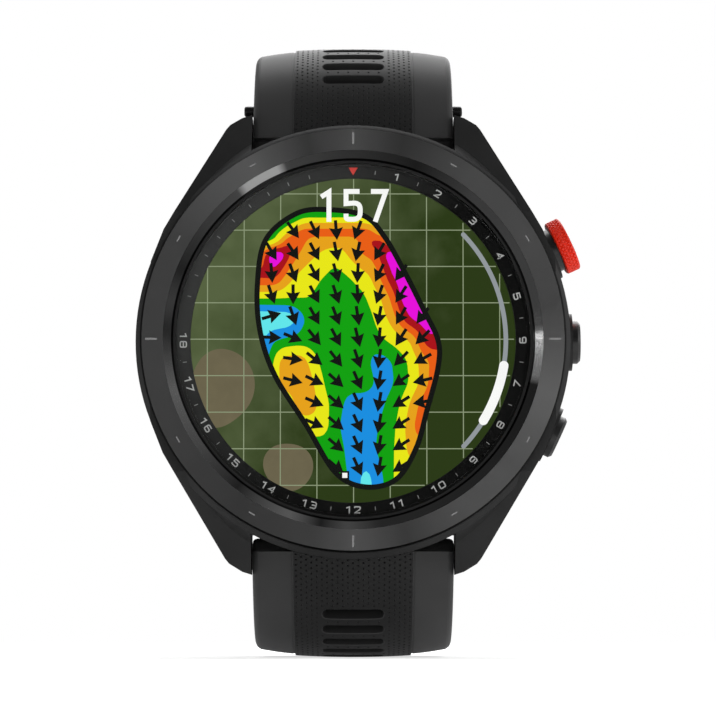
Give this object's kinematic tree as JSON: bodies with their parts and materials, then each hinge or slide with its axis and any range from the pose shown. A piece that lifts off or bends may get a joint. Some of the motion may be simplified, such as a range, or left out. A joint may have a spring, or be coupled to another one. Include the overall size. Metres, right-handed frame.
{
  "type": "golf gps watch",
  "caption": "Round black golf GPS watch with a dark metal bezel, lit green-contour display, side pushers, one of them red, and an unbuckled textured silicone strap.",
  "frame": {"origin": "centre of the flat sensor window on the wrist side of the case", "axes": "+X towards the pushers (3 o'clock), +Z towards 12 o'clock, the dial faces -Y and the wrist side faces +Y"},
  "size_m": [0.0489, 0.0799, 0.069],
  "materials": {
    "case_polymer": "fine matt black fibre-reinforced polymer",
    "bezel_metal": "dark grey hard anodised, circular brushed, polished inner chamfer",
    "lens_glass": "clear scratch-resistant glass",
    "gasket_rubber": "matt black",
    "ring_black": "satin black with light grey printing",
    "display": "lit colour display",
    "flex_film": "amber polyimide film",
    "bracket_metal": "bead blasted",
    "antenna": "plated resin",
    "board_green": "solder mask",
    "shield_steel": "tinned sheet",
    "battery_foil": "foil pouch",
    "motor_steel": "plain",
    "vent_steel": "dark perforated disc",
    "cover_polymer": "satin black",
    "screw_steel": "dark plated",
    "window_gloss": "infrared-clear black window",
    "led": "emitters and photodiodes",
    "socket_plastic": "moulded",
    "pin_gold": "gold flash",
    "stem_steel": "turned stainless",
    "bushing_steel": "turned stainless",
    "spring_steel": "drawn wire",
    "switch_body": "moulded",
    "red_anodised": "orange-red anodised, diamond knurl",
    "black_cap": "satin black coat",
    "dark_cap": "dark grey coat",
    "silicone": "matt black silicone",
    "buckle_metal": "satin black coated steel"
  },
  "bodies": {
    "head": {"case_body": "case_polymer", "bezel": "bezel_metal", "bezel_gasket": "gasket_rubber", "lens": "lens_glass", "lens_gasket": "gasket_rubber", "hole_number_ring": "ring_black", "display_panel": "display", "display_flex": "flex_film", "display_bracket": "bracket_metal", "gnss_antenna": "antenna", "main_board": "board_green", "board_shields": "shield_steel", "battery": "battery_foil", "vibration_motor": "motor_steel", "pressure_vent": "vent_steel", "back_cover": "cover_polymer", "back_gasket": "gasket_rubber", "back_screws": "screw_steel", "sensor_window": "window_gloss", "sensor_board": "board_green", "sensor_leds": "led", "charging_socket": "socket_plastic", "charging_pins": "pin_gold", "action_bushing": "bushing_steel", "action_seal": "gasket_rubber", "action_spring": "spring_steel", "action_switch": "switch_body", "menu_bushing": "bushing_steel", "menu_seal": "gasket_rubber", "menu_spring": "spring_steel", "menu_switch": "switch_body", "back_bushing": "bushing_steel", "back_seal": "gasket_rubber", "back_spring": "spring_steel", "back_switch": "switch_body"},
    "action_pusher": {"action_ring": "red_anodised", "action_insert": "black_cap", "action_stem": "stem_steel", "action_clip": "spring_steel"},
    "menu_pusher": {"menu_cap": "dark_cap", "menu_stem": "stem_steel", "menu_clip": "spring_steel"},
    "back_pusher": {"back_cap": "dark_cap", "back_stem": "stem_steel", "back_clip": "spring_steel"},
    "upper_strap": {"upper_strap": "silicone", "upper_spring_bar": "stem_steel", "upper_end_insert": "black_cap", "buckle_pin": "stem_steel", "fixed_keeper": "silicone"},
    "lower_strap": {"lower_strap": "silicone", "lower_spring_bar": "stem_steel"},
    "upper_latch": {"upper_latch": "stem_steel"},
    "lower_latch": {"lower_latch": "stem_steel"},
    "buckle_frame": {"buckle_frame": "buckle_metal"},
    "buckle_tang": {"buckle_tang": "buckle_metal"},
    "free_keeper": {"free_keeper": "silicone"}
  },
  "joints": [
    {"name": "action_press", "type": "slide", "parent": "head", "child": "action_pusher", "axis": [-0.9056, 0, -0.4242], "range_m": [0, 0.0005], "stiffness_N_per_m": 900, "springref_m": -0.0011},
    {"name": "menu_press", "type": "slide", "parent": "head", "child": "menu_pusher", "axis": [-1, 0, -0.007], "range_m": [0, 0.0005], "stiffness_N_per_m": 900, "springref_m": -0.0011},
    {"name": "back_press", "type": "slide", "parent": "head", "child": "back_pusher", "axis": [-0.9078, 0, 0.4195], "range_m": [0, 0.0005], "stiffness_N_per_m": 900, "springref_m": -0.0011},
    {"name": "upper_strap_hinge", "type": "hinge", "parent": "head", "child": "upper_strap", "pos_m": [0, -0.0032, 0.0229], "axis": [1, 0, 0], "range_deg": [-10, 20]},
    {"name": "lower_strap_hinge", "type": "hinge", "parent": "head", "child": "lower_strap", "pos_m": [0, -0.0032, -0.0229], "axis": [-1, 0, 0], "range_deg": [-8, 20]},
    {"name": "upper_latch_slide", "type": "slide", "parent": "upper_strap", "child": "upper_latch", "axis": [-1, 0, 0], "range_m": [0, 0.0014], "stiffness_N_per_m": 300, "springref_m": -0.001},
    {"name": "lower_latch_slide", "type": "slide", "parent": "lower_strap", "child": "lower_latch", "axis": [-1, 0, 0], "range_m": [0, 0.0014], "stiffness_N_per_m": 300, "springref_m": -0.001},
    {"name": "buckle_hinge", "type": "hinge", "parent": "upper_strap", "child": "buckle_frame", "pos_m": [0, 0.0446, -0.003], "axis": [1, 0, 0], "range_deg": [-40, 30]},
    {"name": "tang_hinge", "type": "hinge", "parent": "buckle_frame", "child": "buckle_tang", "pos_m": [0, 0.0446, -0.003], "axis": [1, 0, 0], "range_deg": [0, 60]},
    {"name": "keeper_slide", "type": "slide", "parent": "upper_strap", "child": "free_keeper", "axis": [0, 0, 1], "range_m": [-0.003, 0.0024]}
  ]
}
